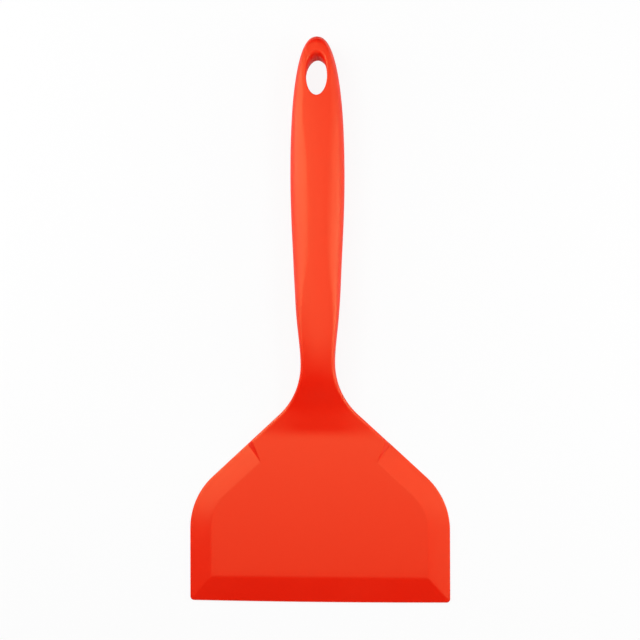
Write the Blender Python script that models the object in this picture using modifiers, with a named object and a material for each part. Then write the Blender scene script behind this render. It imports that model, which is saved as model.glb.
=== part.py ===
"""Wide silicone turner for pancakes, fish and omelettes, lying on its back on a table.

A glass-filled nylon core carries the load. It is a perforated plate in the blade, a solid bar
through the neck and a ribbed bar with a hanging eye in the handle. Two silicone mouldings are
cured round it: a back one that the core lies in, and a front one that also forms the whole thin
lip of the blade. They key into each other through the holes of the core.

+Y runs from the lip to the hanging eye, +Z is up, out of the front face. All sizes are in metres.
"""

import math

import bmesh
import bpy

# Plan view, as distances along Y from the front edge of the lip
BLADE_WIDTH = 0.1300
SIDE_LENGTH = 0.0364
CORNER_RADIUS = 0.0018
FRONT_EDGE_CROWN = 0.0004
SHOULDER_RADIUS = 0.0353
SHOULDER_ANGLE = math.radians(47.3)
NECK_RADIUS = 0.0352
NECK_WIDTH = 0.0169
NECK_TO_WIDEST = 0.0918
HANDLE_WIDTH = 0.0267
WIDEST_TO_TIP = 0.0697
TIP_SQUARENESS = 2.4

# Swelling of the grip, as (share of the way, share of the swelling, slope)
GRIP_SWELL = ((0, 0, 0), (0.237, 0.373, 1.70), (0.624, 0.778, 0.97), (1, 1, 0))

# Side view: thicknesses, and heights above the table
BLADE_THICKNESS = 0.0036
LIP_THICKNESS = 0.0010
HEEL_TO_NECK = 0.0372
HEEL_FILLET_RUN = 0.0044
RAMP_SLOPE = 0.24
RAMP_STEEPEST = 0.34
RAMP_RUN = 0.0270
RAMP_RISE = 0.0071
BEND_RUN = 0.0330
HANDLE_TOP = 0.0158
TIP_TOP = 0.0140
TIP_FALL = -0.06
NECK_UNDERSIDE = 0.0042
TIP_UNDERSIDE = 0.0042
UNDERSIDE_NECK_SLOPE = 0.02
UNDERSIDE_TIP_SLOPE = 0.12
TIP_ROUNDING = 0.0065

# The ramp to the neck starts first along the spine, and later towards the sides
SPINE_HALF_WIDTH = 0.0085
SPINE_LAG = 40.0

# Bevel that thins the blade to its lip, and the step where it stops short of the neck
SIDE_BEVEL = 0.0108
FRONT_BEVEL = 0.0128
NOTCH_UP_SHOULDER = 0.0231
NOTCH_SKEW = 0.0012
NOTCH_RUN_PER_RISE = 1.04

# Rounding of the long edges, as it grows from the blade to the grip
BLADE_EDGE_ROUND = 0.0004
HEEL_EDGE_ROUND = 0.0016
NECK_EDGE_ROUND = 0.0032
GRIP_EDGE_ROUND = 0.0108
HEEL_EDGE_GROWTH = 0.05
NECK_EDGE_GROWTH = 0.09
FULLEST_RUN_SHARE = 0.85
FULLEST_RISE_SHARE = 0.94
GRIP_CROWN = 0.0009

# Hanging eye: a small flare all round, and a long soft scoop on the side of the tip
EYE_WIDTH = 0.0104
EYE_LENGTH = 0.0193
EYE_TO_TIP = 0.0201
EYE_FLARE = 0.0005
EYE_SCOOP = 0.0028
EYE_SCOOP_DEPTH = 0.0045
EYE_SCOOP_POINT = 3
EYE_BACK_FLARE = 0.0012

# Fit of the mouldings
FIT_GAP = 0.0003
SEAM_TO_BEVEL = 0.0008
SEAM_PAST_NOTCH = 0.0011

# Nylon core
PLATE_THICKNESS = 0.0012
PLATE_MARGIN = 0.0016
PLATE_CORNER = 0.0050
TONGUE_LENGTH = 0.0140
BAR_NECK_WIDTH = 0.0104
BAR_WIDTH = 0.0160
BAR_NECK_THICKNESS = 0.0044
BAR_THICKNESS = 0.0070
BAR_SWELL_SLOPE = 0.01
BAR_HEEL_RISE = 0.01
BAR_NECK_RISE = 0.03
RAIL_WIDTH = 0.0024
WEB_THICKNESS = 0.0024
RIB_THICKNESS = 0.0020
CHANNEL_COUNT = 5
CHANNEL_FROM_NECK = 0.0220
CHANNEL_TO_EYE = 0.0080
SLOT_WIDTH = 0.0044
SLOT_END_MARGIN = 0.0028
EYE_LINER = 0.0015
EYE_RING_WALL = 0.0022
KEY_HOLE_DIAMETER = 0.0060
KEY_HOLE_PITCH = 0.0140
KEY_HOLE_EDGE = 0.0038

# Mesh fineness
ACROSS_FLAT = 4
CORNER_STEPS = 6
SHOULDER_STEPS = 8
TIP_STEPS = 16
TIP_CROWDING = 1.3
LAST_TIP_TURN = math.radians(88)
HOLE_SIDES = 16
EYE_SIDES = 32
FLARE_STEPS = 4
CUTTER_MARGIN = 0.0050
BEVEL_CUT_SHARES = (-0.12, 1.08)
MIRROR_MERGE = 0.00002
SMOOTH_BELOW = math.radians(32)

SILICONE_COLOUR = (0.86, 0.055, 0.016, 1.0)
NYLON_COLOUR = (0.62, 0.60, 0.55, 1.0)


def landmarks():
    """Plan positions that the arcs and lines of the outline lead to."""
    sine = math.sin(SHOULDER_ANGLE)
    cosine = math.cos(SHOULDER_ANGLE)
    arc_centre_x = BLADE_WIDTH / 2 - SHOULDER_RADIUS
    slope_top_x = NECK_WIDTH / 2 + NECK_RADIUS * (1 - cosine)
    slope_foot_x = arc_centre_x + SHOULDER_RADIUS * cosine
    slope_foot_y = SIDE_LENGTH + SHOULDER_RADIUS * sine
    slope_top_y = slope_foot_y + (slope_foot_x - slope_top_x) / math.tan(SHOULDER_ANGLE)
    neck_y = slope_top_y + NECK_RADIUS * sine
    return {
        "arc_centre_x": arc_centre_x,
        "slope_foot_x": slope_foot_x,
        "slope_foot_y": slope_foot_y,
        "neck_y": neck_y,
        "heel_y": neck_y - HEEL_TO_NECK,
        "widest_y": neck_y + NECK_TO_WIDEST,
        "tip_y": neck_y + NECK_TO_WIDEST + WIDEST_TO_TIP,
    }


AT = landmarks()
EYE_Y = AT["tip_y"] - EYE_TO_TIP
FILLET_TOP = BLADE_THICKNESS + HEEL_FILLET_RUN * RAMP_SLOPE / 2

# Knots of (y, value, slope) of the smooth curves that shape the side view and the edges
FRONT_SIDE_VIEW = (
    (AT["heel_y"], BLADE_THICKNESS, 0),
    (AT["heel_y"] + HEEL_FILLET_RUN, FILLET_TOP, RAMP_SLOPE),
    (AT["heel_y"] + RAMP_RUN, BLADE_THICKNESS + RAMP_RISE, RAMP_STEEPEST),
    (AT["heel_y"] + RAMP_RUN + BEND_RUN, HANDLE_TOP, 0),
    (AT["widest_y"], HANDLE_TOP, 0),
    (AT["tip_y"], TIP_TOP, TIP_FALL),
)
BACK_SIDE_VIEW = (
    (AT["heel_y"], 0, 0),
    (AT["neck_y"], NECK_UNDERSIDE, UNDERSIDE_NECK_SLOPE),
    (AT["widest_y"], 0, 0),
    (AT["tip_y"], TIP_UNDERSIDE, UNDERSIDE_TIP_SLOPE),
)
EDGE_ROUNDING = (
    (AT["slope_foot_y"], BLADE_EDGE_ROUND, 0),
    (AT["heel_y"], HEEL_EDGE_ROUND, HEEL_EDGE_GROWTH),
    (AT["neck_y"], NECK_EDGE_ROUND, NECK_EDGE_GROWTH),
    (AT["widest_y"], GRIP_EDGE_ROUND, 0),
)
CROWNING = (
    (AT["neck_y"], 0, 0),
    (AT["widest_y"], GRIP_CROWN, 0),
)
BAR_WIDENING = (
    (AT["heel_y"], BAR_NECK_WIDTH / 2, 0),
    (AT["neck_y"], BAR_NECK_WIDTH / 2, BAR_SWELL_SLOPE),
    (AT["widest_y"], BAR_WIDTH / 2, 0),
)
BAR_THICKENING = (
    (AT["heel_y"], PLATE_THICKNESS / 2, BAR_HEEL_RISE),
    (AT["neck_y"], BAR_NECK_THICKNESS / 2, BAR_NECK_RISE),
    (AT["widest_y"], BAR_THICKNESS / 2, 0),
    (AT["tip_y"], BAR_NECK_THICKNESS / 2, 0),
)


def hermite(knots, y):
    """Value at y of the smooth curve through knots of (y, value, slope)."""
    if y <= knots[0][0]:
        return knots[0][1]
    for (y0, v0, s0), (y1, v1, s1) in zip(knots, knots[1:]):
        if y <= y1:
            run = y1 - y0
            t = (y - y0) / run
            return (
                v0 * (2 * t**3 - 3 * t**2 + 1)
                + s0 * run * (t**3 - 2 * t**2 + t)
                + v1 * (3 * t**2 - 2 * t**3)
                + s1 * run * (t**3 - t**2)
            )
    return knots[-1][1]


def handle_half_width(y):
    """Slow swelling from the neck to the widest point, then a blunt oval to the tip."""
    neck = NECK_WIDTH / 2
    swell = HANDLE_WIDTH / 2 - neck
    if y > AT["widest_y"]:
        t = min((y - AT["widest_y"]) / WIDEST_TO_TIP, 1.0)
        return HANDLE_WIDTH / 2 * (1 - t**TIP_SQUARENESS) ** (1 / TIP_SQUARENESS)
    return neck + swell * hermite(GRIP_SWELL, (y - AT["neck_y"]) / NECK_TO_WIDEST)


def half_width(y, inset=0.0, front_inset=0.0, corner=CORNER_RADIUS):
    """Half the width of the outline at y, or of the line that runs inset inside it."""
    half = BLADE_WIDTH / 2 - inset
    corner_end = front_inset + corner
    if y < corner_end:
        return half - corner + math.sqrt(max(corner**2 - (corner_end - y) ** 2, 0.0))
    if y <= SIDE_LENGTH:
        return half
    radius = SHOULDER_RADIUS - inset
    if y <= SIDE_LENGTH + radius * math.sin(SHOULDER_ANGLE):
        return AT["arc_centre_x"] + math.sqrt(radius**2 - (y - SIDE_LENGTH) ** 2)
    neck_radius = NECK_RADIUS + inset
    if y <= AT["neck_y"] - neck_radius * math.sin(SHOULDER_ANGLE):
        foot_x = AT["slope_foot_x"] - inset * math.cos(SHOULDER_ANGLE)
        foot_y = AT["slope_foot_y"] - inset * math.sin(SHOULDER_ANGLE)
        return foot_x - (y - foot_y) * math.tan(SHOULDER_ANGLE)
    if y <= AT["neck_y"]:
        centre_x = NECK_WIDTH / 2 + NECK_RADIUS
        return centre_x - math.sqrt(neck_radius**2 - (y - AT["neck_y"]) ** 2)
    return handle_half_width(y) - inset


def tip_closing(y):
    """Share of its full thickness that the handle keeps at y, rounded off at the tip."""
    into_rounding = (y - AT["tip_y"] + TIP_ROUNDING) / TIP_ROUNDING
    return math.sqrt(1 - min(max(into_rounding, 0.0), 1.0) ** 2)


def middle_height(y):
    """Height at y of the parting surface, midway between the front and the back."""
    return (hermite(FRONT_SIDE_VIEW, y) + hermite(BACK_SIDE_VIEW, y)) / 2


def edge_round(y):
    """How far in from the side the rounding of the edge starts at y."""
    return min(hermite(EDGE_ROUNDING, y), FULLEST_RUN_SHARE * half_width(y))


def face_heights(x, y):
    """(front, back) at (x, y) on the right half, where the edges are rounded like an ellipse."""
    half = half_width(y)
    lag = SPINE_LAG * max(x - SPINE_HALF_WIDTH, 0.0) ** 2
    front = hermite(FRONT_SIDE_VIEW, y - lag)
    back = hermite(BACK_SIDE_VIEW, y)
    run = edge_round(y)
    rise = min(run, FULLEST_RISE_SHARE * (front - back) / 2)
    into_edge = min(max(1 - (half - x) / run, 0.0), 1.0)
    drop = rise * (1 - math.sqrt(1 - into_edge**2))
    crown = hermite(CROWNING, y) * (x / half) ** 2 * (1 - into_edge)
    middle = middle_height(y)
    closing = tip_closing(y)
    front = middle + (front - drop - crown - middle) * closing
    back = middle + (back + drop - middle) * closing
    return front, back


def spaced(*stretches):
    """Places along Y, evenly spaced in each stretch of (start, end, steps)."""
    places = [stretches[0][0]]
    for start, end, steps in stretches:
        places += [start + (end - start) * k / steps for k in range(1, steps + 1)]
    return places


def tip_places():
    """Places from the widest point to just short of the tip, closer together near the tip."""
    shares = [1 - (1 - k / TIP_STEPS) ** TIP_CROWDING for k in range(1, TIP_STEPS + 1)]
    power = 2 / TIP_SQUARENESS
    rises = [math.sin(LAST_TIP_TURN * share) ** power for share in shares]
    return [AT["widest_y"] + WIDEST_TO_TIP * rise for rise in rises]


def new_mesh_object(name, bm, collection, smooth_angle=None):
    """Object in the turner's frame made from bm, shaded smooth below smooth_angle."""
    bmesh.ops.recalc_face_normals(bm, faces=bm.faces)
    mesh = bpy.data.meshes.new(name)
    bm.to_mesh(mesh)
    bm.free()
    if smooth_angle:
        mesh.shade_smooth()
        mesh.set_sharp_from_angle(angle=smooth_angle)
    obj = bpy.data.objects.new(name, mesh)
    collection.objects.link(obj)
    obj.parent = frame
    return obj


def add_loft(bm, rings):
    """Skin over open half rings that start and end on the plane x = 0, with both ends closed."""
    rows = [[bm.verts.new(point) for point in ring] for ring in rings]
    for row, after in zip(rows, rows[1:]):
        for k in range(len(row) - 1):
            bm.faces.new((row[k], row[k + 1], after[k + 1], after[k]))
    for row in (rows[0], rows[-1]):
        last = len(row) - 1
        for k in range(last // 2):
            corners = [row[k], row[k + 1], row[last - k - 1], row[last - k]]
            bm.faces.new(list(dict.fromkeys(corners)))


def mirrored(obj):
    """Adds the other half of a solid that is open at x = 0."""
    mirror = obj.modifiers.new("other_half", "MIRROR")
    mirror.use_axis = (True, False, False)
    mirror.use_mirror_merge = True
    mirror.merge_threshold = MIRROR_MERGE
    return obj


def half_loft(name, rings, collection, smooth_angle=None):
    bm = bmesh.new()
    add_loft(bm, rings)
    return mirrored(new_mesh_object(name, bm, collection, smooth_angle))


def box_ring(y, half, top, bottom):
    """Half of a rectangle across the turner."""
    return [(0, y, top), (half, y, top), (half, y, bottom), (0, y, bottom)]


def crowned(x, y):
    """y moved back towards the sides, so that the front edge bows out a little."""
    fade = max(0.0, 1 - y / FRONT_BEVEL)
    return y + FRONT_EDGE_CROWN * (2 * x / BLADE_WIDTH) ** 2 * fade


def body_ring(y):
    """Half section of the whole turner: flat or crowned faces joined by a rounded edge."""
    half = half_width(y)
    run = edge_round(y)
    across = [(half - run) * k / ACROSS_FLAT for k in range(ACROSS_FLAT)]
    turns = [math.pi / 2 * k / CORNER_STEPS for k in range(CORNER_STEPS + 1)]
    across += [half - run + run * math.sin(turn) for turn in turns]
    faces = [face_heights(x, y) for x in across]
    upper = [(x, crowned(x, y), front) for x, (front, back) in zip(across, faces)]
    lower = [(x, crowned(x, y), back) for x, (front, back) in zip(across, faces)]
    return upper + lower[::-1]


def round_corner(start, radius, steps):
    """Places along Y on a quarter round that starts at start, closest together at its start."""
    turns = [math.pi / 2 * k / steps for k in range(steps)]
    return [start + radius * (1 - math.cos(turn)) for turn in turns]


def make_body(name, collection):
    """Outer shape of both silicone mouldings together, before the bevel and the eye are cut."""
    places = round_corner(0, CORNER_RADIUS, 3) + spaced(
        (CORNER_RADIUS, FRONT_BEVEL, 1),
        (FRONT_BEVEL, SIDE_LENGTH, 1),
        (SIDE_LENGTH, AT["slope_foot_y"], SHOULDER_STEPS),
        (AT["slope_foot_y"], AT["heel_y"], 4),
        (AT["heel_y"], AT["heel_y"] + HEEL_FILLET_RUN, 2),
        (AT["heel_y"] + HEEL_FILLET_RUN, AT["neck_y"], 12),
        (AT["neck_y"], AT["widest_y"], 14),
    )
    rings = [body_ring(y) for y in places + tip_places()]
    return half_loft(name, rings, collection, SMOOTH_BELOW)


def shoulder_point(share, up, height):
    """Point on the bevel's way up the straight shoulder. A share of 0 is the outline and 1 the
    bevel's inner line, and up is the distance from the foot of the slope."""
    inset = SIDE_BEVEL * share
    sine = math.sin(SHOULDER_ANGLE)
    cosine = math.cos(SHOULDER_ANGLE)
    x = AT["slope_foot_x"] - inset * cosine - up * sine
    y = AT["slope_foot_y"] - inset * sine + up * cosine
    return (x, y, height)


def bevel_height(share):
    return LIP_THICKNESS + (BLADE_THICKNESS - LIP_THICKNESS) * share


def bevel_line(share, height):
    """Half of the line that runs round the blade at a share of the bevel's width."""
    inset = SIDE_BEVEL * share
    front = FRONT_BEVEL * share
    radius = SHOULDER_RADIUS - inset
    line = [(0, front, height), (BLADE_WIDTH / 2 - inset, front, height)]
    for k in range(SHOULDER_STEPS + 1):
        turn = SHOULDER_ANGLE * k / SHOULDER_STEPS
        x = AT["arc_centre_x"] + radius * math.cos(turn)
        line.append((x, SIDE_LENGTH + radius * math.sin(turn), height))
    above_bevel = height - bevel_height(share)
    skew = NOTCH_SKEW * (1 - share) + NOTCH_RUN_PER_RISE * above_bevel
    line.append(shoulder_point(share, NOTCH_UP_SHOULDER + skew, height))
    return line


def make_bevel_cutter(name, collection):
    """Band that takes the bevel off the front face, from one notch round the lip to the other."""
    outside, inside = BEVEL_CUT_SHARES
    clear = BLADE_THICKNESS + CUTTER_MARGIN
    lines = (
        bevel_line(inside, bevel_height(inside)),
        bevel_line(outside, bevel_height(outside)),
        bevel_line(outside, clear),
        bevel_line(inside, clear),
    )
    bm = bmesh.new()
    sections = [[bm.verts.new(point) for point in section] for section in zip(*lines)]
    for section, after in zip(sections, sections[1:]):
        for k in range(4):
            near, far = section[k], section[(k + 1) % 4]
            bm.faces.new((near, far, after[(k + 1) % 4], after[k]))
    bm.faces.new(sections[-1])
    return mirrored(new_mesh_object(name, bm, collection))


def add_column(bm, rows):
    """Closed column through rows of points, each row one ring of it."""
    rows = [[bm.verts.new(point) for point in row] for row in rows]
    sides = len(rows[0])
    for row, after in zip(rows, rows[1:]):
        for k in range(sides):
            bm.faces.new((row[k], row[(k + 1) % sides], after[(k + 1) % sides], after[k]))
    bm.faces.new(rows[0])
    bm.faces.new(rows[-1])


def oval_ring(half_x, half_y, z):
    """Ring round the middle of the hanging eye."""
    turns = [2 * math.pi * k / EYE_SIDES for k in range(EYE_SIDES)]
    return [(half_x * math.cos(a), EYE_Y + half_y * math.sin(a), z) for a in turns]


def eye_point(turn, roll, back):
    """Point of the eye's mouth on the front or the back. The roll is 0 on the face and a quarter
    turn where the mouth has run into the wall, and the front mouth is scooped at the tip."""
    scoop = 0.0 if back else max(math.sin(turn), 0.0) ** EYE_SCOOP_POINT
    flare = EYE_BACK_FLARE if back else EYE_FLARE
    flare_depth = flare + (EYE_SCOOP_DEPTH - flare) * scoop
    flare += (EYE_SCOOP - flare) * scoop
    mouth_x = (EYE_WIDTH / 2 + flare) * math.cos(turn)
    mouth_y = EYE_Y + (EYE_LENGTH / 2 + flare) * math.sin(turn)
    front, under = face_heights(abs(mouth_x), mouth_y)
    out = flare * (1 - math.sin(roll))
    into = flare_depth * (1 - math.cos(roll))
    x = (EYE_WIDTH / 2 + out) * math.cos(turn)
    y = EYE_Y + (EYE_LENGTH / 2 + out) * math.sin(turn)
    return (x, y, under + into if back else front - into)


def make_eye_cutter(name, collection):
    """Hanging eye: an oval wall between two flared mouths, with room to spare past both."""
    turns = [2 * math.pi * k / EYE_SIDES for k in range(EYE_SIDES)]
    rolls = [math.pi / 2 * k / FLARE_STEPS for k in range(FLARE_STEPS + 1)]
    front = [[eye_point(turn, roll, back=False) for turn in turns] for roll in rolls]
    back = [[eye_point(turn, roll, back=True) for turn in turns] for roll in rolls]
    half_x = EYE_WIDTH / 2 + EYE_SCOOP + CUTTER_MARGIN
    half_y = EYE_LENGTH / 2 + EYE_SCOOP + CUTTER_MARGIN
    above = oval_ring(half_x, half_y, HANDLE_TOP + CUTTER_MARGIN)
    below = oval_ring(half_x, half_y, -CUTTER_MARGIN)
    bm = bmesh.new()
    add_column(bm, [above] + front + back[::-1] + [below])
    return new_mesh_object(name, bm, collection, SMOOTH_BELOW)


def bar_half_width(y):
    """Half the width of the core's bar, which swells to a ring round the eye."""
    return hermite(BAR_WIDENING, y)


def bar_half_thickness(y):
    return hermite(BAR_THICKENING, y)


def make_bar(name, grow, collection):
    """Bar of the core, from a tongue in the plate to inside the ring of the eye."""
    places = spaced(
        (AT["heel_y"] - TONGUE_LENGTH, AT["heel_y"], 2),
        (AT["heel_y"], AT["neck_y"], 12),
        (AT["neck_y"], AT["widest_y"], 10),
        (AT["widest_y"], EYE_Y, 7),
    )
    rings = []
    for y in places:
        middle = middle_height(y)
        half = bar_half_width(y) + grow
        rise = bar_half_thickness(y) + grow
        rings.append(box_ring(y, half, middle + rise, middle - rise))
    return half_loft(name, rings, collection)


def make_plate(name, grow, collection):
    """Plate of the core, parallel to the outline of the blade and clear of the bevel."""
    inset = SIDE_BEVEL + PLATE_MARGIN - grow
    front = FRONT_BEVEL + PLATE_MARGIN - grow
    corner = PLATE_CORNER + grow
    arc_end = SIDE_LENGTH + (SHOULDER_RADIUS - inset) * math.sin(SHOULDER_ANGLE)
    tail_radius = NECK_RADIUS + inset
    tail_start = AT["neck_y"] - tail_radius * math.sin(SHOULDER_ANGLE)
    tail_gap = NECK_WIDTH / 2 + NECK_RADIUS - BAR_NECK_WIDTH / 2
    tail_end = AT["neck_y"] - math.sqrt(tail_radius**2 - tail_gap**2)
    places = round_corner(front, corner, 5) + spaced(
        (front + corner, SIDE_LENGTH, 1),
        (SIDE_LENGTH, arc_end, 6),
        (arc_end, tail_start, 3),
        (tail_start, tail_end, 4),
    )
    rise = PLATE_THICKNESS / 2 + grow
    rings = []
    for y in places:
        middle = middle_height(y)
        half = half_width(y, inset, front, corner)
        rings.append(box_ring(y, half, middle + rise, middle - rise))
    return half_loft(name, rings, collection)


def make_eye_ring(name, grow, collection):
    """Oval ring at the end of the core's bar, before the eye is opened in it."""
    middle = middle_height(EYE_Y)
    out = EYE_LINER + EYE_RING_WALL + grow
    rise = bar_half_thickness(EYE_Y) + grow
    half_x = EYE_WIDTH / 2 + out
    half_y = EYE_LENGTH / 2 + out
    bm = bmesh.new()
    add_column(bm, [oval_ring(half_x, half_y, middle + up) for up in (-rise, rise)])
    return new_mesh_object(name, bm, collection)


def channel_spans():
    """(start, end) along Y of each channel between the ribs of the bar."""
    start = AT["neck_y"] + CHANNEL_FROM_NECK
    end = EYE_Y - EYE_LENGTH / 2 - EYE_LINER - CHANNEL_TO_EYE
    pitch = (end - start + RIB_THICKNESS) / CHANNEL_COUNT
    first_ends = [start + pitch * k for k in range(CHANNEL_COUNT)]
    return [(y, y + pitch - RIB_THICKNESS) for y in first_ends]


def add_channel(bm, start, end, grow, side):
    """Block that sinks one channel into the front (side 1) or back (side -1) of the bar."""
    rows = []
    for y in (start + grow, (start + end) / 2, end - grow):
        middle = middle_height(y)
        half = bar_half_width(y) - RAIL_WIDTH - grow
        floor = middle + side * (WEB_THICKNESS / 2 + grow)
        over = middle + side * (bar_half_thickness(y) + CUTTER_MARGIN)
        rows.append([(-half, y, floor), (half, y, floor), (half, y, over), (-half, y, over)])
    add_column(bm, rows)


def add_slot(bm, start, end, grow):
    """Oblong column that opens the web of one channel from front to back."""
    half = SLOT_WIDTH / 2 - grow
    first = start + SLOT_END_MARGIN + SLOT_WIDTH / 2
    last = end - SLOT_END_MARGIN - SLOT_WIDTH / 2
    middle = middle_height((start + end) / 2)
    outline = []
    for k in range(HOLE_SIDES + 1):
        turn = math.pi * k / HOLE_SIDES
        outline.append((half * math.cos(turn), last + half * math.sin(turn)))
    for k in range(HOLE_SIDES + 1):
        turn = math.pi + math.pi * k / HOLE_SIDES
        outline.append((half * math.cos(turn), first + half * math.sin(turn)))
    levels = (middle - WEB_THICKNESS, middle + WEB_THICKNESS)
    add_column(bm, [[(x, y, z) for x, y in outline] for z in levels])


def key_hole_places():
    """Centres of the round key holes, in rows across the plate inside its edge."""
    inset = SIDE_BEVEL + PLATE_MARGIN
    front = FRONT_BEVEL + PLATE_MARGIN
    reach = KEY_HOLE_DIAMETER / 2 + KEY_HOLE_EDGE
    first_row = front + reach
    places = []
    for row in range(int((AT["heel_y"] - first_row) / KEY_HOLE_PITCH) + 1):
        y = first_row + row * KEY_HOLE_PITCH
        room = half_width(y, inset + reach, front, PLATE_CORNER)
        in_bar = y > AT["heel_y"] - TONGUE_LENGTH - reach
        for column in range(-int(room / KEY_HOLE_PITCH), int(room / KEY_HOLE_PITCH) + 1):
            x = column * KEY_HOLE_PITCH
            if not (in_bar and abs(x) < BAR_NECK_WIDTH / 2 + reach):
                places.append((x, y))
    return places


def make_core_channels(name, grow, collection):
    """Channels between the ribs of the bar, on both of its faces."""
    bm = bmesh.new()
    for start, end in channel_spans():
        for side in (-1, 1):
            add_channel(bm, start, end, grow, side)
    return new_mesh_object(name, bm, collection)


def make_core_holes(name, grow, collection):
    """Holes that go right through the core: slots, the eye and the key holes."""
    bm = bmesh.new()
    for start, end in channel_spans():
        add_slot(bm, start, end, grow)
    middle = middle_height(EYE_Y)
    half_x = EYE_WIDTH / 2 + EYE_LINER - grow
    half_y = EYE_LENGTH / 2 + EYE_LINER - grow
    sunk = (-BAR_THICKNESS, BAR_THICKNESS)
    add_column(bm, [oval_ring(half_x, half_y, middle + up) for up in sunk])
    for x, y in key_hole_places():
        hole = bmesh.ops.create_cone(
            bm,
            cap_ends=True,
            segments=HOLE_SIDES,
            radius1=KEY_HOLE_DIAMETER / 2 - grow,
            radius2=KEY_HOLE_DIAMETER / 2 - grow,
            depth=2 * BLADE_THICKNESS,
        )
        bmesh.ops.translate(bm, verts=hole["verts"], vec=(x, y, BLADE_THICKNESS / 2))
    return new_mesh_object(name, bm, collection)


def add_boolean(obj, other, operation):
    boolean = obj.modifiers.new(f"{operation.lower()}_{other.name}", "BOOLEAN")
    boolean.operation = operation
    boolean.object = other
    boolean.solver = "EXACT"


def make_core(name, grow, collection):
    """The nylon core, or with grow the room that the silicone leaves for it."""
    core = make_bar(name, grow, collection)
    for maker, operation in (
        (make_plate, "UNION"),
        (make_eye_ring, "UNION"),
        (make_core_channels, "DIFFERENCE"),
        (make_core_holes, "DIFFERENCE"),
    ):
        other = maker(f"{name}_{maker.__name__[5:]}", grow, cutters)
        add_boolean(core, other, operation)
    return core


def back_limit(y, offset):
    """Half the width of the back moulding's ground at y: inside the bevel of the blade, and past
    the sides beyond the notch. A positive offset draws it in."""
    share = (SIDE_BEVEL - SEAM_TO_BEVEL + offset) / SIDE_BEVEL
    end_x, end_y, _ = shoulder_point(share, NOTCH_UP_SHOULDER, 0)
    if y <= end_y:
        return half_width(y, SIDE_BEVEL * share, FRONT_BEVEL * share)
    past_notch = NOTCH_UP_SHOULDER + NOTCH_SKEW + SEAM_PAST_NOTCH
    out_x, out_y, _ = shoulder_point(0, past_notch, 0)
    return end_x + (y - end_y) * (out_x - end_x) / (out_y - end_y)


def make_back_ground(name, offset, collection):
    """Space below the parting surface that the back moulding may fill. A positive offset keeps
    it that far inside the shared boundary, and a negative one lets it pass it."""
    share = (SIDE_BEVEL - SEAM_TO_BEVEL + offset) / SIDE_BEVEL
    front = FRONT_BEVEL * share
    end_y = shoulder_point(share, NOTCH_UP_SHOULDER, 0)[1]
    arc_end = SIDE_LENGTH + (SHOULDER_RADIUS - SIDE_BEVEL * share) * math.sin(SHOULDER_ANGLE)
    places = round_corner(front, CORNER_RADIUS, 3) + spaced(
        (front + CORNER_RADIUS, SIDE_LENGTH, 1),
        (SIDE_LENGTH, arc_end, 7),
        (arc_end, end_y, 1),
        (end_y, AT["heel_y"], 2),
        (AT["heel_y"], AT["heel_y"] + HEEL_FILLET_RUN, 2),
        (AT["heel_y"] + HEEL_FILLET_RUN, AT["neck_y"], 12),
        (AT["neck_y"], AT["widest_y"], 14),
        (AT["widest_y"], AT["tip_y"] + CUTTER_MARGIN, 10),
    )
    rings = []
    for y in places:
        middle = middle_height(y)
        rings.append(box_ring(y, back_limit(y, offset), middle - offset, -CUTTER_MARGIN))
    return half_loft(name, rings, collection)


def material(name, colour, roughness):
    made = bpy.data.materials.new(name)
    made.use_nodes = True
    shader = made.node_tree.nodes["Principled BSDF"]
    shader.inputs["Base Color"].default_value = colour
    shader.inputs["Roughness"].default_value = roughness
    shader.inputs["Metallic"].default_value = 0.0
    return made


def make_moulding(name, ground_offset, ground_operation):
    """One silicone moulding: its side of the parting surface, less the room for the core."""
    moulding = make_body(name, parts)
    ground = make_back_ground(f"{name}_ground", ground_offset, cutters)
    add_boolean(moulding, bevel_cutter, "DIFFERENCE")
    add_boolean(moulding, eye_cutter, "DIFFERENCE")
    add_boolean(moulding, ground, ground_operation)
    add_boolean(moulding, core_room, "DIFFERENCE")
    moulding.data.materials.append(silicone)
    return moulding


for old in list(bpy.data.objects):
    bpy.data.objects.remove(old, do_unlink=True)

parts = bpy.data.collections.new("wide_silicone_turner")
cutters = bpy.data.collections.new("cutters")
for group in (parts, cutters):
    bpy.context.scene.collection.children.link(group)

# The frame's origin is on the table under the middle of the turner
frame = bpy.data.objects.new("turner_frame", None)
frame.location = (0, -AT["tip_y"] / 2, 0)
parts.objects.link(frame)

silicone = material("silicone", SILICONE_COLOUR, 0.42)
nylon = material("nylon", NYLON_COLOUR, 0.5)

bevel_cutter = make_bevel_cutter("bevel_cutter", cutters)
eye_cutter = make_eye_cutter("eye_cutter", cutters)
core_room = make_core("core_room", FIT_GAP, cutters)

silicone_front = make_moulding("silicone_front", -FIT_GAP / 2, "DIFFERENCE")
silicone_back = make_moulding("silicone_back", FIT_GAP / 2, "INTERSECT")
nylon_core = make_core("nylon_core", 0.0, parts)
nylon_core.data.materials.append(nylon)

for helper in cutters.objects:
    helper.hide_render = True
    helper.display_type = "WIRE"
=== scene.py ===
"""Looks of a wide silicone turner that lies face up on a white table, seen from straight above.

All sizes are in metres. +Y runs from the lip of the blade to the hanging eye, and +Z is up.
"""

import math

import bmesh
import bpy
import numpy as np
from mathutils import Euler, Matrix, Vector


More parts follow.
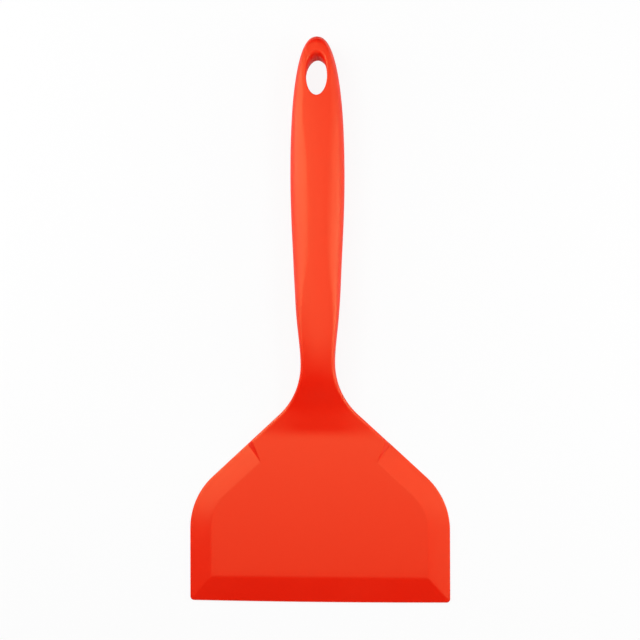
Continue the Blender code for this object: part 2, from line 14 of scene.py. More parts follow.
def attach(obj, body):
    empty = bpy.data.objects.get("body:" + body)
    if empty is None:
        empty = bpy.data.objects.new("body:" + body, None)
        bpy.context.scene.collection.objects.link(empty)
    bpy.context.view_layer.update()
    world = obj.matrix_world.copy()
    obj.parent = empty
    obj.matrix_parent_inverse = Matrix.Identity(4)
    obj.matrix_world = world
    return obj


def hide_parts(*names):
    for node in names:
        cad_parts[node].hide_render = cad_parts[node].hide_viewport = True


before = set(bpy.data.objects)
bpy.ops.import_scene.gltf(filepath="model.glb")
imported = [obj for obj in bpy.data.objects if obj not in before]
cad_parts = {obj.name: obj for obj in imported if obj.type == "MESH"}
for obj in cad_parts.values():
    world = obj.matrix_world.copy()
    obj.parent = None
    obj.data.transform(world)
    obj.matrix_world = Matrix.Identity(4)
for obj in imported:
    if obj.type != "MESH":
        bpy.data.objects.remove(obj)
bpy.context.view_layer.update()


# Nylon core. One injection moulding of natural glass-filled nylon: a perforated plate in the
# blade, a bar through the neck and a ribbed bar with an eye in the handle. It goes into the
# silicone mould first and stays sealed inside, so its CAD solid only gets a finish here.
class Wire:
    """One socket of a material. A sum written with it adds the Math nodes that it stands for."""

    def __init__(self, socket):
        self.socket = socket

    def node(self, kind, settings=None, sockets=None, out=0):
        """Adds a node to this material: its settings are made first, then its sockets filled."""
        node = self.socket.id_data.nodes.new(kind)
        for name, value in (settings or {}).items():
            setattr(node, name, value)
        for name, value in (sockets or {}).items():
            if isinstance(value, Wire):
                self.socket.id_data.links.new(value.socket, node.inputs[name])
            else:
                node.inputs[name].default_value = value
        return Wire(node.outputs[out])

    def maths(self, operation, first, second):
        return self.node("ShaderNodeMath", {"operation": operation}, {0: first, 1: second})

    def __add__(self, other):
        return self.maths("ADD", self, other)

    def __radd__(self, other):
        return self.maths("ADD", other, self)

    def __mul__(self, other):
        return self.maths("MULTIPLY", self, other)

    def __rmul__(self, other):
        return self.maths("MULTIPLY", other, self)

    def feed(self, target):
        """Plugs this wire into a socket of the shader."""
        self.socket.id_data.links.new(self.socket, target)


def noise(place, size, detail=2.0):
    """Cloudy value from 0 to 1 whose lumps are about size across."""
    return place.node(
        "ShaderNodeTexNoise", sockets={"Vector": place, "Scale": 1 / size, "Detail": detail}
    )


def blend(share, first, second):
    """Colour that goes from first to second as share goes from 0 to 1."""
    return share.node(
        "ShaderNodeMix", {"data_type": "RGBA"}, {"Factor": share, 6: first, 7: second}, out=2
    )


def raised(height, strength, depth):
    """Surface direction of a relief that is depth high where height is 1."""
    return height.node(
        "ShaderNodeBump", sockets={"Strength": strength, "Distance": depth, "Height": height}
    )


def new_finish(name):
    """New material, its shader, and the wire of a surface point's place in metres."""
    finish = bpy.data.materials.new(name)
    finish.use_nodes = True
    tree = finish.node_tree
    place = Wire(tree.nodes.new("ShaderNodeTexCoord").outputs["Object"])
    return finish, tree.nodes["Principled BSDF"], place


NYLON_PALE = (0.66, 0.64, 0.58, 1)
NYLON_DULL = (0.56, 0.53, 0.46, 1)
NYLON_IOR = 1.53
NYLON_CLOUD_SIZE = 0.012
NYLON_ROUGHNESS = 0.46
GLASS_FIBRE_LENGTH = 0.0016
GLASS_FIBRE_WIDTH = 0.0002
GLASS_FIBRE_TONE = 0.3
GLASS_FIBRE_ROUGHNESS = 0.16
GLASS_FIBRE_BUMP = 0.4
GLASS_FIBRE_HEIGHT = 0.00002

natural_nylon, shader, place = new_finish("natural_glass_filled_nylon")
shader.inputs["IOR"].default_value = NYLON_IOR
along_flow = place.node(
    "ShaderNodeMapping",
    sockets={"Vector": place, "Scale": (1.0, GLASS_FIBRE_WIDTH / GLASS_FIBRE_LENGTH, 1.0)},
)
fibres = noise(along_flow, GLASS_FIBRE_WIDTH, detail=1.0)
clouding = noise(place, NYLON_CLOUD_SIZE)
tone = (1 - GLASS_FIBRE_TONE) * clouding + GLASS_FIBRE_TONE * fibres
blend(tone, NYLON_DULL, NYLON_PALE).feed(shader.inputs["Base Color"])
(NYLON_ROUGHNESS + GLASS_FIBRE_ROUGHNESS * fibres).feed(shader.inputs["Roughness"])
raised(fibres, GLASS_FIBRE_BUMP, GLASS_FIBRE_HEIGHT).feed(shader.inputs["Normal"])

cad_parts["nylon_core"].material_slots[0].material = natural_nylon


# Silicone skin. The front and back mouldings of food-grade silicone cure into one seamless skin
# round the core, with a satin surface from the spark-eroded mould and a fine parting line round
# its edge. Its outline runs from the middle of the lip round the right side to the tip.
BLADE_WIDTH = 0.1300
SIDE_LENGTH = 0.0364
CORNER_RADIUS = 0.0018
FRONT_EDGE_CROWN = 0.0004
SHOULDER_RADIUS = 0.0353
SHOULDER_ANGLE = math.radians(47.3)
NECK_RADIUS = 0.0352
NECK_WIDTH = 0.0169
NECK_TO_WIDEST = 0.0918
HANDLE_WIDTH = 0.0267
WIDEST_TO_TIP = 0.0697
TIP_SQUARENESS = 2.4
# Knots of the way from the neck to the widest grip: share of the way, share of the swell, slope
GRIP_SWELL = ((0, 0, 0), (0.237, 0.373, 1.70), (0.624, 0.778, 0.97), (1, 1, 0))
ARC_POINTS = 60
GRIP_POINTS = 80
TIP_POINTS = 200


def smooth_curve(knots, at):
    """Values at some places of the smooth curve through knots of (place, value, slope)."""
    places, values, slopes = np.array(knots, dtype=float).T
    at = np.clip(at, places[0], places[-1])
    k = np.clip(np.searchsorted(places, at, side="right") - 1, 0, len(places) - 2)
    run = places[k + 1] - places[k]
    t = (at - places[k]) / run
    return (
        values[k] * (2 * t**3 - 3 * t**2 + 1)
        + slopes[k] * run * (t**3 - 2 * t**2 + t)
        + values[k + 1] * (3 * t**2 - 2 * t**3)
        + slopes[k + 1] * run * (t**3 - t**2)
    )


def arc(centre, radius, start, end):
    turns = np.linspace(start, end, ARC_POINTS)
    return centre + radius * np.column_stack((np.cos(turns), np.sin(turns)))


def travelled(points):
    """Distances from the first point to each point, along the line through them."""
    return np.append(0, np.cumsum(np.hypot(*np.diff(points, axis=0).T)))


half_blade = BLADE_WIDTH / 2
corner_centre = (half_blade - CORNER_RADIUS, CORNER_RADIUS)
shoulder_centre = np.array([half_blade - SHOULDER_RADIUS, SIDE_LENGTH])
slope_way = np.array([-math.sin(SHOULDER_ANGLE), math.cos(SHOULDER_ANGLE)])
slope_foot = shoulder_centre + SHOULDER_RADIUS * np.array([slope_way[1], -slope_way[0]])
neck_centre_x = NECK_WIDTH / 2 + NECK_RADIUS
slope_length = (slope_foot[0] - neck_centre_x + NECK_RADIUS * slope_way[1]) / -slope_way[0]
neck_y = slope_foot[1] + slope_length * slope_way[1] - NECK_RADIUS * slope_way[0]
widest_y = neck_y + NECK_TO_WIDEST
tip_y = widest_y + WIDEST_TO_TIP

swell = np.linspace(0, 1, GRIP_POINTS)
grip_x = NECK_WIDTH / 2 + (HANDLE_WIDTH - NECK_WIDTH) / 2 * smooth_curve(GRIP_SWELL, swell)
tip_turn = np.linspace(0, math.pi / 2, TIP_POINTS)
round_tip_x = HANDLE_WIDTH / 2 * np.cos(tip_turn).clip(0) ** (2 / TIP_SQUARENESS)
round_tip_y = widest_y + WIDEST_TO_TIP * np.sin(tip_turn) ** (2 / TIP_SQUARENESS)
outline = np.vstack(
    (
        [(0, 0)],
        arc(corner_centre, CORNER_RADIUS, -math.pi / 2, 0),
        arc(shoulder_centre, SHOULDER_RADIUS, 0, SHOULDER_ANGLE),
        arc((neck_centre_x, neck_y), NECK_RADIUS, math.pi + SHOULDER_ANGLE, math.pi),
        np.column_stack((grip_x, neck_y + NECK_TO_WIDEST * swell))[1:],
        np.column_stack((round_tip_x, round_tip_y))[1:],
        [(-round_tip_x[-2], round_tip_y[-2])],
    )
)
travel = travelled(outline)
corner_start, corner_end, shoulder_start, slope_start, slope_end, neck_way = (
    travel[1 + arcs_before * ARC_POINTS + step]
    for arcs_before in range(3)
    for step in (0, ARC_POINTS - 1)
)
tip_way = travel[-2]


def on_outline(way):
    """Points at distances along the outline."""
    return np.column_stack([np.interp(way, travel, outline[:, axis]) for axis in (0, 1)])


def inward(way):
    """Unit directions square to the outline, into the silicone."""
    nearby = 0.0001
    along = on_outline(way + nearby) - on_outline(way - nearby)
    return np.column_stack((-along[:, 1], along[:, 0])) / np.hypot(*along.T)[:, None]


# Side view of the skin. The blade is a flat sheet that ends at its heel. From there the front
# climbs a ramp, steepest halfway to the neck, and eases over the neck into the thick handle. Runs
# are counted from the heel towards the tip, and rises from the face of the blade.
BLADE_THICKNESS = 0.0036
LIP_THICKNESS = 0.0010
HEEL_TO_NECK = 0.0372
HEEL_FILLET_RUN = 0.0050
HEEL_FILLET_SLOPE = 0.22
RAMP_FOOT_RUN = 0.0135
RAMP_FOOT_RISE = 0.00245
RAMP_FOOT_SLOPE = 0.26
RAMP_RUN = 0.0215
RAMP_RISE = 0.0054
RAMP_SLOPE = 0.44
BEND_RUN = 0.0330
BEND_RISE = 0.0093
BEND_SLOPE = 0.22
EASE_RUN = 0.0500
EASE_RISE = 0.0116
EASE_SLOPE = 0.06
FULL_RUN = 0.0730
HANDLE_TOP = 0.0158
TIP_TOP = 0.0140
TIP_TOP_SLOPE = -0.06
NECK_UNDERSIDE = 0.0042
NECK_UNDERSIDE_SLOPE = 0.02
TIP_UNDERSIDE = 0.0042
TIP_UNDERSIDE_SLOPE = 0.12
SPINE_HALF_WIDTH = 0.0085
RAMP_FADE_PER_METRE = 23.0

heel_y = neck_y - HEEL_TO_NECK
heel_fillet_rise = HEEL_FILLET_RUN * HEEL_FILLET_SLOPE / 2
front_side_view = (
    (heel_y, BLADE_THICKNESS, 0),
    (heel_y + HEEL_FILLET_RUN, BLADE_THICKNESS + heel_fillet_rise, HEEL_FILLET_SLOPE),
    (heel_y + RAMP_FOOT_RUN, BLADE_THICKNESS + RAMP_FOOT_RISE, RAMP_FOOT_SLOPE),
    (heel_y + RAMP_RUN, BLADE_THICKNESS + RAMP_RISE, RAMP_SLOPE),
    (heel_y + BEND_RUN, BLADE_THICKNESS + BEND_RISE, BEND_SLOPE),
    (heel_y + EASE_RUN, BLADE_THICKNESS + EASE_RISE, EASE_SLOPE),
    (heel_y + FULL_RUN, HANDLE_TOP, 0),
    (widest_y, HANDLE_TOP, 0),
    (tip_y, TIP_TOP, TIP_TOP_SLOPE),
)
back_side_view = (
    (heel_y, 0, 0),
    (neck_y, NECK_UNDERSIDE, NECK_UNDERSIDE_SLOPE),
    (widest_y, 0, 0),
    (tip_y, TIP_UNDERSIDE, TIP_UNDERSIDE_SLOPE),
)
ramp_fading = ((heel_y, RAMP_FADE_PER_METRE, 0), (neck_y, 0, 0))

# Rounding of the skin's long edges, which grows from the crisp blade to the full grip, and the
# crown of its front, which makes the handle's section oval.
LIP_EDGE_ROUND = 0.0003
BLADE_EDGE_ROUND = 0.0005
HEEL_EDGE_ROUND = 0.0011
NECK_EDGE_ROUND = 0.0018
NECK_ROUND_SLOPE = 0.02
BEND_EDGE_ROUND = 0.0045
BEND_ROUND_SLOPE = 0.17
FULL_EDGE_ROUND = 0.0085
FULL_ROUND_SLOPE = 0.10
GRIP_EDGE_ROUND = 0.0096
GRIP_ROUND_SLOPE = -0.06
EYE_EDGE_ROUND = 0.0054
TIP_EDGE_ROUND = 0.0042
NECK_CROWN = 0.0010
NECK_CROWN_SLOPE = 0.01
FULL_CROWN = 0.0018
GRIP_CROWN = 0.0012
EYE_CROWN = 0.0006
NECK_TO_FULL = 0.0569
BEND_PLACE = 0.63
EYE_PLACE = 0.6

full_y = neck_y + NECK_TO_FULL
eye_round_y = widest_y + WIDEST_TO_TIP * EYE_PLACE
edge_rounding = (
    (slope_foot[1], BLADE_EDGE_ROUND, 0),
    (heel_y, HEEL_EDGE_ROUND, NECK_ROUND_SLOPE),
    (neck_y, NECK_EDGE_ROUND, NECK_ROUND_SLOPE),
    (neck_y + NECK_TO_FULL * BEND_PLACE, BEND_EDGE_ROUND, BEND_ROUND_SLOPE),
    (full_y, FULL_EDGE_ROUND, FULL_ROUND_SLOPE),
    (widest_y, GRIP_EDGE_ROUND, GRIP_ROUND_SLOPE),
    (eye_round_y, EYE_EDGE_ROUND, 0),
    (tip_y, TIP_EDGE_ROUND, 0),
)
crowning = (
    (heel_y, 0, 0),
    (neck_y, NECK_CROWN, NECK_CROWN_SLOPE),
    (full_y, FULL_CROWN, 0),
    (widest_y, GRIP_CROWN, 0),
    (eye_round_y, EYE_CROWN, 0),
)

# Bevel of the blade. It thins the rim to a soft lip and runs from a notch on one shoulder round
# to the other. The notch is a small sloped wall where the full thickness starts. At the rim it is
# moved towards the neck, its top more than its foot.
SIDE_BEVEL = 0.0108
FRONT_BEVEL = 0.0128
BEVEL_FILLET = 0.0008
CREASE_SOFTNESS = 0.00019
NOTCH_UP_SHOULDER = 0.0231
NOTCH_FOOT_SKEW = 0.0012
NOTCH_TOP_SKEW = 0.0043
NOTCH_FADE = 0.0170
NOTCH_SOFTNESS = 0.08

notch_way = slope_start + NOTCH_UP_SHOULDER
band_width = SIDE_BEVEL + BEVEL_FILLET
face_corner = np.array([half_blade - band_width, band_width * FRONT_BEVEL / SIDE_BEVEL])
face_way = corner_end + face_corner[1] - CORNER_RADIUS
corner_arc = slice(1, 1 + ARC_POINTS)
from_side = (half_blade - outline[corner_arc, 0]) / SIDE_BEVEL
mitre_way = np.interp(0, outline[corner_arc, 1] / FRONT_BEVEL - from_side, travel[corner_arc])


def soft_lower(first, second, softness):
    """The lower of two values, with the crease where they meet rounded off."""
    near = np.clip(1 - np.abs(first - second) / softness, 0, None)
    return np.minimum(first, second) - near**2 * softness / 4


def front_height(x, y, side_inset, climb):
    """Height of the front before its edge is rounded. climb is 0 where the bevel is, and 1 past
    the notch, where the blade has its full thickness. The ramp to the neck is highest along the
    spine, and fades towards the sides."""
    fade = smooth_curve(ramp_fading, y) * np.clip(np.abs(x) - SPINE_HALF_WIDTH, 0, None)
    rise = (smooth_curve(front_side_view, y) - BLADE_THICKNESS) * (1 - fade)
    fall = BLADE_THICKNESS - LIP_THICKNESS
    side = LIP_THICKNESS + fall * side_inset / SIDE_BEVEL
    lip = LIP_THICKNESS + fall * y / FRONT_BEVEL
    bevel = soft_lower(side, lip, CREASE_SOFTNESS)
    bevel = soft_lower(bevel, BLADE_THICKNESS, CREASE_SOFTNESS)
    return bevel + rise + (BLADE_THICKNESS - bevel) * climb


# Hanging eye. It is an oval hole with a plain edge at the sides and a long soft scoop at the
# tip, where the turner hangs from a hook. Its wall widens towards the back by the draft that let
# the pin of the mould out.
EYE_WIDTH = 0.0104
EYE_LENGTH = 0.0193
EYE_TO_TIP = 0.0201
EYE_FLARE = 0.0005
EYE_SCOOP = 0.0030
EYE_SCOOP_DEPTH = 0.0078
EYE_DRAFT = 0.0008
EYE_DRAFT_DEPTH = 0.0100
EYE_DRAFT_SHARE = 0.9
EYE_END_FADE = 2
EYE_OVAL_POINTS = 400

eye_y = tip_y - EYE_TO_TIP
eye_near_end = eye_y - EYE_LENGTH / 2 - EYE_FLARE
neck_to_tip = slice(1 + 2 * ARC_POINTS, -1)
eye_way = np.interp(eye_near_end, outline[neck_to_tip, 1], travel[neck_to_tip])


def eye_oval(turn):
    """Points of the eye's oval about its middle. turn goes from -pi / 2 at the end by the neck to
    pi / 2 at the end by the tip."""
    return np.column_stack((EYE_WIDTH / 2 * np.cos(turn), EYE_LENGTH / 2 * np.sin(turn)))


# Ribs of the skin's mesh. Each starts on the outline and crosses the bevel or the rounded edge as
# its band, then goes straight on to the middle line or to the mouth of the hanging eye. Along the
# lip the ribs are parallel, and round the corner of the blade they meet in the corner of the face.
FACE_STEPS = 14
CORNER_STEPS = 6
SIDE_STEPS = 8
SHOULDER_STEPS = 24
BEVELLED_SLOPE_STEPS = 10
FULL_SLOPE_STEPS = 16
NECK_STEPS = 40
GRIP_STEPS = 110
EYE_STEPS = 56
# Ribs up the wall of the notch, in shares of its height, close together at both soft creases
NOTCH_CLIMB = (-0.08, -0.03, 0.02, 0.08, 0.3, 0.5, 0.7, 0.92, 0.98, 1.03, 1.08)
NOTCH_CLEARANCE = 0.0008
BAND_SHARE = 0.8


def spaced(*stretches):
    """Distances along the outline, evenly spaced in each stretch of (start, end, steps)."""
    ways = [np.linspace(start, end, steps + 1)[1:] for start, end, steps in stretches]
    return np.concatenate([[stretches[0][0]], *ways])


before_notch = spaced(
    (0, face_corner[0], FACE_STEPS),
    (face_corner[0], corner_start, CORNER_STEPS),
    (corner_start, mitre_way, CORNER_STEPS),
    (mitre_way, corner_end, CORNER_STEPS),
    (corner_end, face_way, CORNER_STEPS),
    (face_way, shoulder_start, SIDE_STEPS),
    (shoulder_start, slope_start, SHOULDER_STEPS),
    (slope_start, notch_way - NOTCH_CLEARANCE, BEVELLED_SLOPE_STEPS),
)
after_notch = spaced(
    (notch_way + NOTCH_CLEARANCE, slope_end, FULL_SLOPE_STEPS),
    (slope_end, neck_way, NECK_STEPS),
    (neck_way, eye_way, GRIP_STEPS),
    (eye_way, tip_way, EYE_STEPS),
)
climbing = np.array(NOTCH_CLIMB)
ways = np.concatenate([before_notch, np.full(len(climbing), notch_way), after_notch])
climb = np.concatenate([np.zeros(len(before_notch)), climbing, np.ones(len(after_notch))])
skew = np.where(
    ways < notch_way,
    np.interp(ways, (slope_start, notch_way), (0, NOTCH_FOOT_SKEW)),
    np.interp(ways, (notch_way, notch_way + NOTCH_FADE), (NOTCH_TOP_SKEW, 0)),
)
on_wall = slice(len(before_notch), len(before_notch) + len(climbing))
skew[on_wall] = NOTCH_FOOT_SKEW + (NOTCH_TOP_SKEW - NOTCH_FOOT_SKEW) * climbing
climb = -soft_lower(-soft_lower(climb, 1, NOTCH_SOFTNESS), 0, NOTCH_SOFTNESS)

rim = on_outline(ways)
fan_start, fan_end, first_eye_rib = np.searchsorted(ways, (face_corner[0], face_way, eye_way))
eye_ribs = slice(first_eye_rib, None)
past_neck = ways > neck_way

band = np.minimum(band_width, BAND_SHARE * rim[:, 0])[:, None] * inward(ways)
band[: fan_start + 1] = (0, face_corner[1])
band[fan_start : fan_end + 1] = face_corner - rim[fan_start : fan_end + 1]
middle = np.column_stack((np.zeros(len(ways)), (rim + band)[:, 1]))
middle[past_neck, 1] = rim[past_neck, 1]

# Ribs at the eye end on its wall. Their spacing there follows their spacing on the outline.
eye_turn = np.linspace(-math.pi / 2, math.pi / 2, EYE_OVAL_POINTS)
oval_travel = travelled(eye_oval(eye_turn))
eye_share = (ways[eye_ribs] - eye_way) / (tip_way - eye_way)
rib_turn = np.interp(eye_share * oval_travel[-1], oval_travel, eye_turn)
eye_wall = eye_oval(rib_turn)
eye_out = eye_wall / (EYE_WIDTH**2, EYE_LENGTH**2)
eye_out /= np.hypot(*eye_out.T)[:, None]
eye_wall[:, 1] += eye_y
scoop_share = np.clip(np.sin(rib_turn), 0, None) ** EYE_END_FADE
near_share = np.clip(-np.sin(rib_turn), 0, None) ** EYE_END_FADE
mouth = EYE_FLARE + (EYE_SCOOP - EYE_FLARE) * scoop_share
mouth_depth = EYE_FLARE + (EYE_SCOOP_DEPTH - EYE_FLARE) * scoop_share
draft_out = EYE_DRAFT * (1 - scoop_share) + (EYE_FLARE - EYE_DRAFT) * near_share
eye_draft = draft_out[:, None] * eye_out
back_middle = middle.copy()
back_middle[eye_ribs] = eye_wall + eye_draft
middle[eye_ribs] = eye_wall + mouth[:, None] * eye_out

band[past_neck] = BAND_SHARE * (middle - rim)[past_neck]
reach = np.hypot(*band.T)
reach[:fan_end] = band_width

# Points along each band, by how far in they lie: over the fillet of the bevel, in fillet widths
# from its crease, then over the bevel, in shares of it, and last in even turns round the edge.
FILLET_PLACES = (1.0, 0.5, 0.0, -0.5, -1.0)
BEVEL_SHARES = (0.62, 0.38, 0.18, 0.06, 0.0)
EDGE_STEPS = 6

edge_run = smooth_curve(edge_rounding, rim[:, 1])
edge_run = LIP_EDGE_ROUND + (edge_run - LIP_EDGE_ROUND) * climb
knee_inset = np.minimum(edge_run, BAND_SHARE * reach)
fillet_insets = SIDE_BEVEL + BEVEL_FILLET * np.array(FILLET_PLACES)
fillet_shares = (fillet_insets - LIP_EDGE_ROUND) / (band_width - LIP_EDGE_ROUND)
band_shares = np.append(fillet_shares, BEVEL_SHARES)
knee_turn = np.arcsin(1 - knee_inset / edge_run)[:, None]
edge_turn = knee_turn + (math.pi / 2 - knee_turn) * np.arange(1, EDGE_STEPS + 1) / EDGE_STEPS
inset = np.hstack(
    (
        knee_inset[:, None] + (reach - knee_inset)[:, None] * band_shares,
        edge_run[:, None] * (1 - np.sin(edge_turn)),
    )
)
inset[on_wall, : len(FILLET_PLACES)] = fillet_insets
band_points = rim[:, None] + band[:, None] * (inset / reach[:, None])[..., None]
skewed = skew[:, None] * np.clip(1 - inset / band_width, 0, None)
band_points += skewed[..., None] * slope_way

# Heights of the skin's points. The edges of the front and the back are rounded alike, and leave a
# strip of the rim between them for the parting line, also where the skin is thin.
FULLEST_SHARE = 0.94
LEAST_HALF_WIDTH = 0.0001

rim_x, rim_y = band_points[:, -1].T
rim_top = front_height(rim_x, rim_y, np.zeros(len(ways)), climb)
half_thickness = (rim_top - smooth_curve(back_side_view, rim_y)) / 2


def face_grid(inner):
    """Points from the inner end of each rib out to its band, and how far in they lie."""
    share = np.arange(FACE_STEPS + 1) / FACE_STEPS
    out = band_points[:, 0] - inner
    points = inner[:, None] + out[:, None] * share[:, None]
    return points, reach[:, None] + np.hypot(*out.T)[:, None] * (1 - share)


def skin_heights(points, inset):
    """Heights of the front and of the back at points of the ribs, as far in from the outline as
    inset says, with the long edges rounded."""
    x, y = points[..., 0], points[..., 1]
    side_inset = inset.copy()
    side_inset[:fan_end] = half_blade - x[:fan_end]
    front = front_height(x, y, side_inset, climb[:, None])
    back = smooth_curve(back_side_view, y)
    into_edge = np.clip(1 - inset / edge_run[:, None], 0, 1)
    fall = 1 - np.sqrt(1 - into_edge**2)
    fullest = FULLEST_SHARE * half_thickness[:, None]
    across = x / np.maximum(x + inset, LEAST_HALF_WIDTH)
    crown = smooth_curve(crowning, y) * across**2
    front_edge = np.minimum(edge_run[:, None], fullest - crown)
    back_edge = np.minimum(edge_run[:, None], fullest)
    return front - front_edge * fall - crown, back + back_edge * fall


band_front, band_back = skin_heights(band_points, inset)
front_points, front_inset = face_grid(middle)
back_points, back_inset = face_grid(back_middle)
face_front = skin_heights(front_points, front_inset)[0]
face_back = skin_heights(back_points, back_inset)[1]

# Parting line. It is a fine ridge round the rim, where the halves of the mould met: its upper foot,
# its crest and its lower foot.
PARTING_LINE_HEIGHT = 0.00010
PARTING_LINE_WIDTH = 0.00030

parting_out = -inward(ways) * PARTING_LINE_HEIGHT
rim_middle = (band_front[:, -1] + band_back[:, -1]) / 2
parting = np.stack(
    [
        np.column_stack(
            (band_points[:, -1] + out * parting_out, rim_middle + up * PARTING_LINE_WIDTH / 2)
        )
        for out, up in ((0, 1), (1, 0), (0, -1))
    ],
    axis=1,
)

# Wall of the eye. The front mouth rolls over into it, and the back mouth widens along its draft,
# whose points lie close together at the mouth.
EYE_ROLL_POINTS = 8
EYE_DRAFT_PLACES = (1.0, 0.6, 0.25, 0.08, 0.02, 0.0)

rolled = np.linspace(0, math.pi / 2, EYE_ROLL_POINTS)
past_wall = 1 - np.sin(rolled)
front_roll = np.dstack(
    (
        eye_wall[:, None] + (mouth[:, None] * eye_out)[:, None] * past_wall[:, None],
        face_front[eye_ribs, :1] - mouth_depth[:, None] * (1 - np.cos(rolled)),
    )
)
draft = np.array(EYE_DRAFT_PLACES)
wall_height = face_front[eye_ribs, :1] - mouth_depth[:, None] - face_back[eye_ribs, :1]
draft_depth = np.minimum(EYE_DRAFT_DEPTH, EYE_DRAFT_SHARE * wall_height)
back_draft = np.dstack(
    (
        eye_wall[:, None] + eye_draft[:, None] * (1 - draft)[:, None],
        face_back[eye_ribs, :1] + draft_depth * draft,
    )
)

WELD_DISTANCE = 0.000004


def skin_sheets():
    """Grids of points that make up the right half of the skin."""
    over_band = np.dstack((band_points, band_front))
    under_band = np.dstack((band_points, band_back))
    yield np.hstack((over_band, parting, under_band[:, ::-1]))
    yield np.dstack((front_points, face_front))[fan_end:]
    yield np.dstack((back_points, face_back))[fan_end:]
    yield np.hstack((front_roll, back_draft))


def make_skin(name):
    """Both halves of the skin, welded into one closed surface with its middle over the origin.
    The edge of the lip is bowed a little, so that its middle leads."""
    points, faces = [], []
    for sheet in skin_sheets():
        towards_side = (2 * sheet[..., 0] / BLADE_WIDTH) ** 2
        bow = towards_side * np.clip(1 - sheet[..., 1] / FRONT_BEVEL, 0, 1)
        sheet[..., 1] += FRONT_EDGE_CROWN * bow - tip_y / 2
        for side in (1, -1):
            first = sum(len(done) for done in points)
            corner = first + np.arange(sheet[..., 0].size).reshape(sheet.shape[:2])
            around = (corner[:-1, :-1], corner[:-1, 1:], corner[1:, 1:], corner[1:, :-1])
            points.append((sheet * (side, 1, 1)).reshape(-1, 3))
            faces.append(np.stack(around, axis=-1).reshape(-1, 4))
    mesh = bpy.data.meshes.new(name)
    mesh.from_pydata(np.vstack(points), [], np.vstack(faces).tolist())
    bm = bmesh.new()
    bm.from_mesh(mesh)
    bmesh.ops.remove_doubles(bm, verts=bm.verts, dist=WELD_DISTANCE)
    bmesh.ops.recalc_face_normals(bm, faces=bm.faces)
    bm.to_mesh(mesh)
    bm.free()
    mesh.shade_smooth()
    skin = bpy.data.objects.new(name, mesh)
    bpy.context.scene.collection.objects.link(skin)
    return skin


skin = make_skin("silicone_skin")

# Satin finish of the skin. The blade is a little glossier than the grip.
SILICONE_RED = (0.955, 0.0088, 0.0010, 1)
SILICONE_DEEP = (0.935, 0.0068, 0.0007, 1)
SILICONE_SHEEN_TINT = (0.82, 1.0, 0.40, 1)
SILICONE_SHEEN = 0.95
SILICONE_IOR = 1.41
SILICONE_CLOUD_SIZE = 0.018
BLADE_ROUGHNESS = 0.29
GRIP_ROUGHNESS = 0.38
CLOUD_ROUGHNESS = 0.06
GRAIN_ROUGHNESS = 0.04
RAMP_END_Y = -0.028
GRIP_START_Y = 0.020
MOULD_GRAIN_SIZE = 0.00016
MOULD_GRAIN_DEPTH = 0.000006

satin_silicone, shader, place = new_finish("satin_silicone")
shader.inputs["IOR"].default_value = SILICONE_IOR
shader.inputs["Specular IOR Level"].default_value = SILICONE_SHEEN
shader.inputs["Specular Tint"].default_value = SILICONE_SHEEN_TINT
clouding = noise(place, SILICONE_CLOUD_SIZE, detail=3.0)
grain = noise(place, MOULD_GRAIN_SIZE, detail=1.0)
blade_to_grip = place.node(
    "ShaderNodeMapRange",
    {"interpolation_type": "SMOOTHSTEP"},
    {
        "Value": place.node("ShaderNodeSeparateXYZ", sockets={"Vector": place}, out="Y"),
        "From Min": RAMP_END_Y,
        "From Max": GRIP_START_Y,
        "To Min": BLADE_ROUGHNESS,
        "To Max": GRIP_ROUGHNESS,
    },
)
roughness = blade_to_grip + CLOUD_ROUGHNESS * clouding + GRAIN_ROUGHNESS * grain
blend(clouding, SILICONE_DEEP, SILICONE_RED).feed(shader.inputs["Base Color"])
roughness.feed(shader.inputs["Roughness"])
raised(grain, 1.0, MOULD_GRAIN_DEPTH).feed(shader.inputs["Normal"])
skin.data.materials.append(satin_silicone)

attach(skin, "root")
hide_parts("silicone_front", "silicone_back")


# Table. The turner lies on a seamless sheet of matt white paper, which shows white and keeps a
# soft shadow: most of what the camera sees of it is its own glow, and the rest is lit.
TABLE_SIZE = 3.0
TABLE_GAP = 0.0001
TABLE_WHITE = (0.86, 0.86, 0.86, 1)
TABLE_ROUGHNESS = 0.9
TABLE_GLOW_SHARE = 0.90

table_corners = [(x, y, 0) for x, y in ((-1, -1), (1, -1), (1, 1), (-1, 1))]
table_mesh = bpy.data.meshes.new("white_sheet")
table_mesh.from_pydata(table_corners, [], [(0, 1, 2, 3)])
table_mesh.transform(Matrix.Scale(TABLE_SIZE / 2, 4))
table = bpy.data.objects.new("white_sheet", table_mesh)
table.location.z = -TABLE_GAP
bpy.context.scene.collection.objects.link(table)

white_sheet, shader, place = new_finish("white_sheet")
shader.inputs["Base Color"].default_value = TABLE_WHITE
shader.inputs["Roughness"].default_value = TABLE_ROUGHNESS
shader.inputs["Specular IOR Level"].default_value = 0.0
seen = place.node("ShaderNodeLightPath", out="Is Camera Ray")
glow = place.node("ShaderNodeEmission", sockets={"Color": (1, 1, 1, 1), "Strength": 1.0})
sheet_surface = place.node(
    "ShaderNodeMixShader",
    sockets={0: seen * TABLE_GLOW_SHARE, 1: Wire(shader.outputs[0]), 2: glow},
)
sheet_surface.feed(white_sheet.node_tree.nodes["Material Output"].inputs["Surface"])
table.data.materials.append(white_sheet)


# Studio. Softboxes stand round the table in a dim room with pale walls. Three hang high over the
# table, small ones stand close at the left and the right, and larger ones stand further away.
HIGH_HEIGHT = 1.2
FAR_DISTANCE = 1.2
NEAR_DISTANCE = 0.5
HIGH_LENGTH = 1.0
FAR_FACE = (0.7, 0.3)
NEAR_FACE = (0.2, 0.13)
WALL_GLOW = 0.03


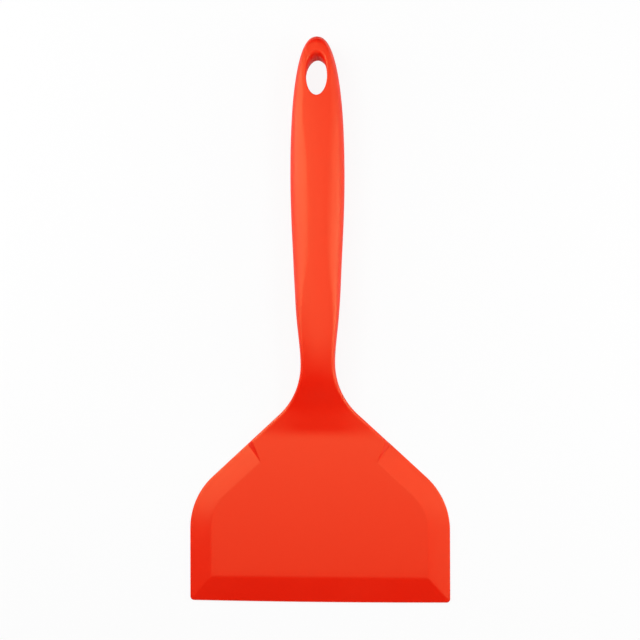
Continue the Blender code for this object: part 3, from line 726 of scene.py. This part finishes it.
def lamp_stand(tilt, azimuth, distance, towards_tip=0.0):
    """Place of a lamp that is tilted from straight above towards azimuth, in degrees, where 0 is
    the right and 90 is the tip, then moved along the table."""
    place = Vector((0, 0, distance))
    place.rotate(Euler((0, math.radians(tilt), math.radians(azimuth))))
    place.y += towards_tip
    return place


def add_softbox(name, place, glow, length, height):
    """Lamp that faces the turner. glow is the light that each part of its face gives."""
    lamp = bpy.data.lights.new(name, "AREA")
    lamp.shape = "RECTANGLE"
    lamp.size = length
    lamp.size_y = height
    lamp.energy = math.pi * length * height * glow
    softbox = bpy.data.objects.new(name, lamp)
    softbox.location = place
    softbox.rotation_euler = place.to_track_quat("Z", "Y").to_euler()
    softbox.visible_camera = False
    bpy.context.scene.collection.objects.link(softbox)


for name, y, glow, height in (
    ("lip_overhead_softbox", -0.30, 0.66, 0.3),
    ("overhead_softbox", 0.05, 1.25, 0.5),
    ("tip_overhead_softbox", 0.30, 0.62, 0.6),
):
    add_softbox(name, Vector((0, y, HIGH_HEIGHT)), glow, HIGH_LENGTH, height)

for tilt, towards_tip, glow in (
    (30, 0.2, 5.6),
    (45, 0, 2.4),
    (60, 0, 1.4),
    (75, 0, 1.0),
    (75, 0.2, 7.9),
):
    place = lamp_stand(tilt, 180, NEAR_DISTANCE, towards_tip)
    add_softbox("left_softbox", place, glow, *NEAR_FACE)

for tilt, towards_tip, glow in (
    (30, 0.2, 1.3),
    (45, -0.2, 1.6),
    (45, 0, 4.2),
    (60, 0, 1.4),
    (75, 0, 6.5),
    (75, 0.2, 2.2),
):
    place = lamp_stand(tilt, 0, NEAR_DISTANCE, towards_tip)
    add_softbox("right_softbox", place, glow, *NEAR_FACE)

for tilt, azimuth, glow in (
    (50, 150, 5.1),
    (50, 30, 2.3),
    (74, 30, 0.5),
    (80, 270, 3.7),
    (84, 330, 1.2),
):
    add_softbox("far_softbox", lamp_stand(tilt, azimuth, FAR_DISTANCE), glow, *FAR_FACE)

room = bpy.data.worlds.new("pale_room")
room.use_nodes = True
walls = room.node_tree.nodes["Background"]
walls.inputs["Color"].default_value = (1, 1, 1, 1)
seen = Wire(walls.outputs["Background"]).node("ShaderNodeLightPath", out="Is Camera Ray")
(WALL_GLOW + (1 - WALL_GLOW) * seen).feed(walls.inputs["Strength"])
bpy.context.scene.world = room


# Camera. It looks down on the middle of the turner, and leans to one side by a few degrees.
CAMERA_DISTANCE = 0.6
SENSOR_WIDTH_IN_MM = 36
PHOTO_WIDTH_IN_PIXELS = 640
PIXELS_PER_METRE = 1994.6
CAMERA_YAW = math.radians(3.41)
CAMERA_PITCH = math.radians(-0.43)
CAMERA_ROLL = math.radians(0.16)
AIM = (0.00061, 0.00048, 0.0)

lens = bpy.data.cameras.new("overhead_camera")
lens.sensor_width = SENSOR_WIDTH_IN_MM
lens.lens = PIXELS_PER_METRE * CAMERA_DISTANCE * SENSOR_WIDTH_IN_MM / PHOTO_WIDTH_IN_PIXELS
camera = bpy.data.objects.new("overhead_camera", lens)
camera.matrix_world = (
    Matrix.Translation(AIM)
    @ Matrix.Rotation(CAMERA_YAW, 4, "Y")
    @ Matrix.Rotation(-CAMERA_PITCH, 4, "X")
    @ Matrix.Rotation(-CAMERA_ROLL, 4, "Z")
    @ Matrix.Translation((0, 0, CAMERA_DISTANCE))
)
bpy.context.scene.collection.objects.link(camera)
bpy.context.scene.camera = camera
bpy.context.scene.view_settings.view_transform = "Standard"
